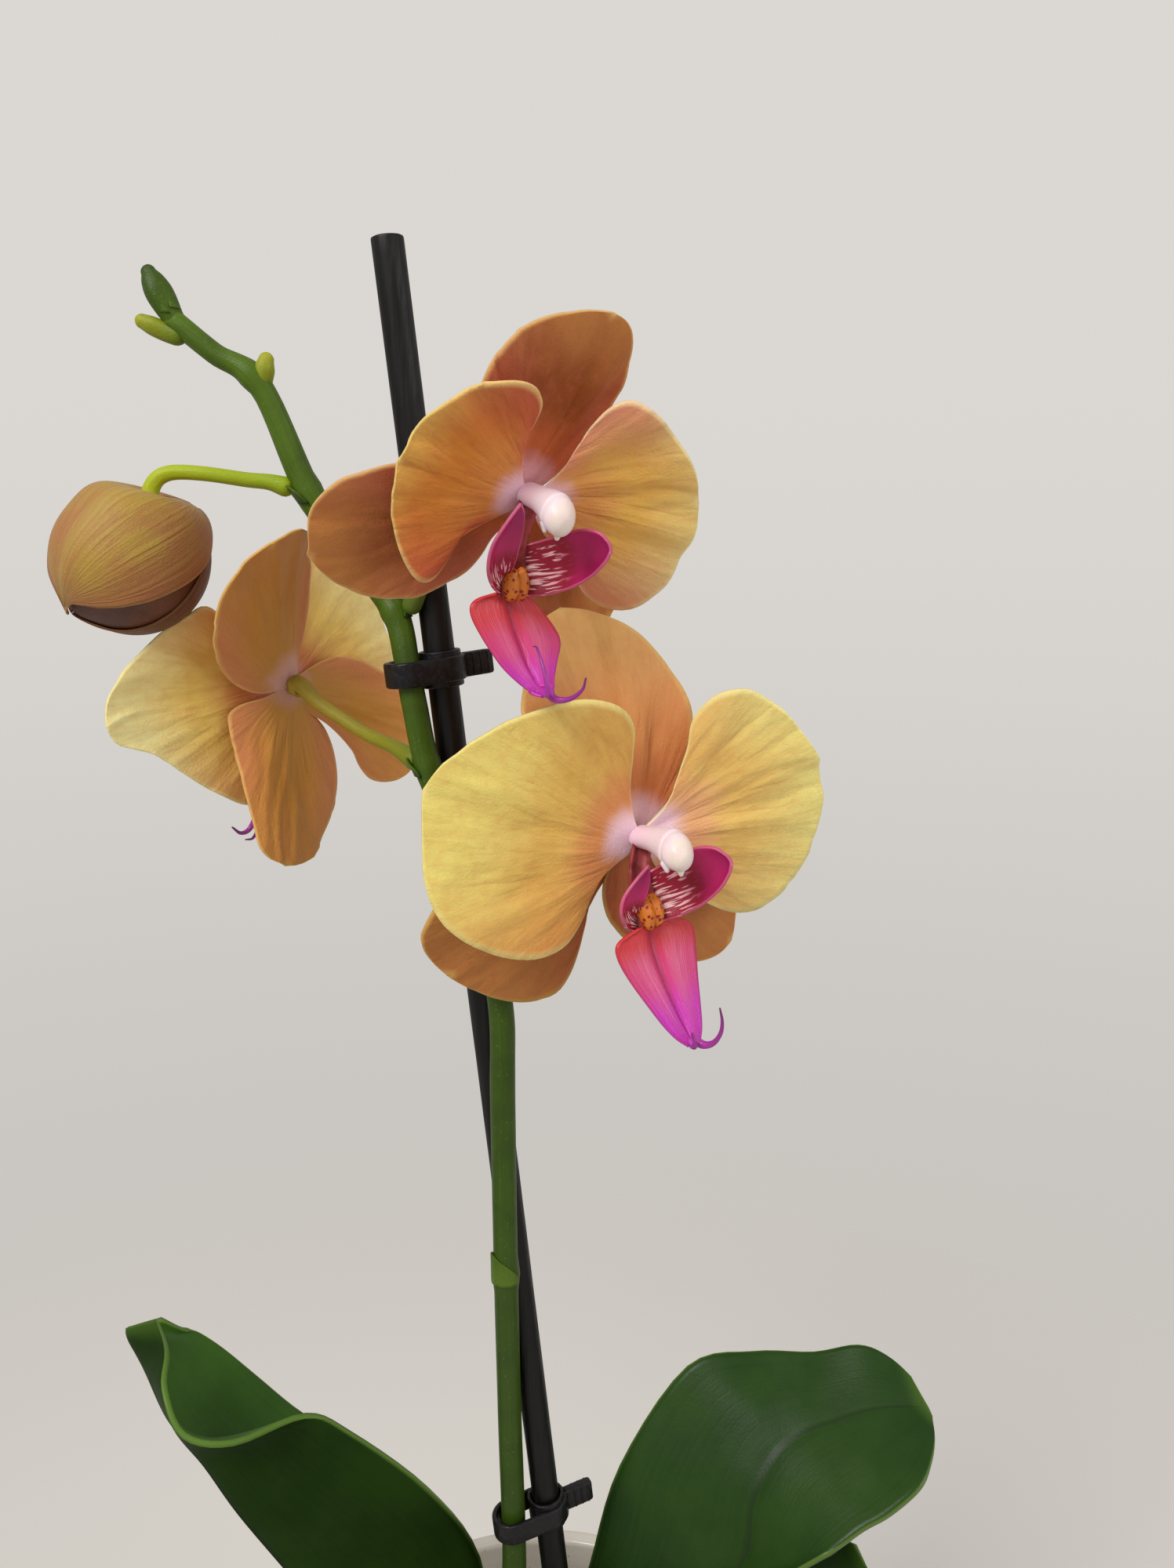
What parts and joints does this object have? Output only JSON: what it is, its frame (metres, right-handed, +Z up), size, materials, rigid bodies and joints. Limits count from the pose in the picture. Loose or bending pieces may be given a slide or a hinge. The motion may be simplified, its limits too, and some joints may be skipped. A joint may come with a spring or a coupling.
{
  "type": "potted orchid",
  "caption": "Moth orchid in a plain round pot of bark: arching leaves and a clipped, staked flower spike with yellow and orange flowers, magenta lips and a large bud",
  "frame": {"origin": "centre of the pot's flat underside", "axes": "+Z up along the pot's axis, the picture looks along +Y, +X to the right of that view"},
  "size_m": [0.1893, 0.122, 0.4513],
  "materials": {
    "pot_glaze": "satin",
    "bark": "matte",
    "leaf_green": "satin",
    "stem_green": "satin",
    "root_grey": "matte",
    "stick_black": "satin",
    "clip_black": "satin",
    "petal_gold": "satin",
    "sepal_orange": "satin",
    "lip_magenta": "satin",
    "column_white": "satin",
    "bud_olive": "satin"
  },
  "bodies": {
    "root": {"pot": "pot_glaze", "bark_bed": "bark", "crown": "stem_green", "support_stick": "stick_black", "flower_spike": "stem_green", "spike_bract": "stem_green", "upper_clip": "clip_black", "lower_clip": "clip_black", "aerial_root_1": "root_grey", "aerial_root_2": "root_grey", "aerial_root_3": "root_grey", "aerial_root_4": "root_grey", "leaf_left_upper": "leaf_green", "leaf_right_upper": "leaf_green", "leaf_right_lower": "leaf_green", "leaf_left_lower": "leaf_green", "upper_flower_stalk": "stem_green", "upper_flower_upper_sepal": "sepal_orange", "upper_flower_left_sepal": "sepal_orange", "upper_flower_right_sepal": "sepal_orange", "upper_flower_left_petal": "petal_gold", "upper_flower_right_petal": "petal_gold", "upper_flower_lip": "lip_magenta", "upper_flower_column": "column_white", "lower_flower_stalk": "stem_green", "lower_flower_upper_sepal": "sepal_orange", "lower_flower_left_sepal": "sepal_orange", "lower_flower_right_sepal": "sepal_orange", "lower_flower_left_petal": "petal_gold", "lower_flower_right_petal": "petal_gold", "lower_flower_lip": "lip_magenta", "lower_flower_column": "column_white", "rear_flower_stalk": "stem_green", "rear_flower_upper_sepal": "sepal_orange", "rear_flower_left_sepal": "sepal_orange", "rear_flower_right_sepal": "sepal_orange", "rear_flower_left_petal": "petal_gold", "rear_flower_right_petal": "petal_gold", "rear_flower_lip": "lip_magenta", "rear_flower_column": "column_white", "bud_stalk": "stem_green", "large_bud": "bud_olive", "tip_bud": "stem_green", "side_bud_left": "stem_green", "side_bud_right": "stem_green"}
  },
  "joints": []
}
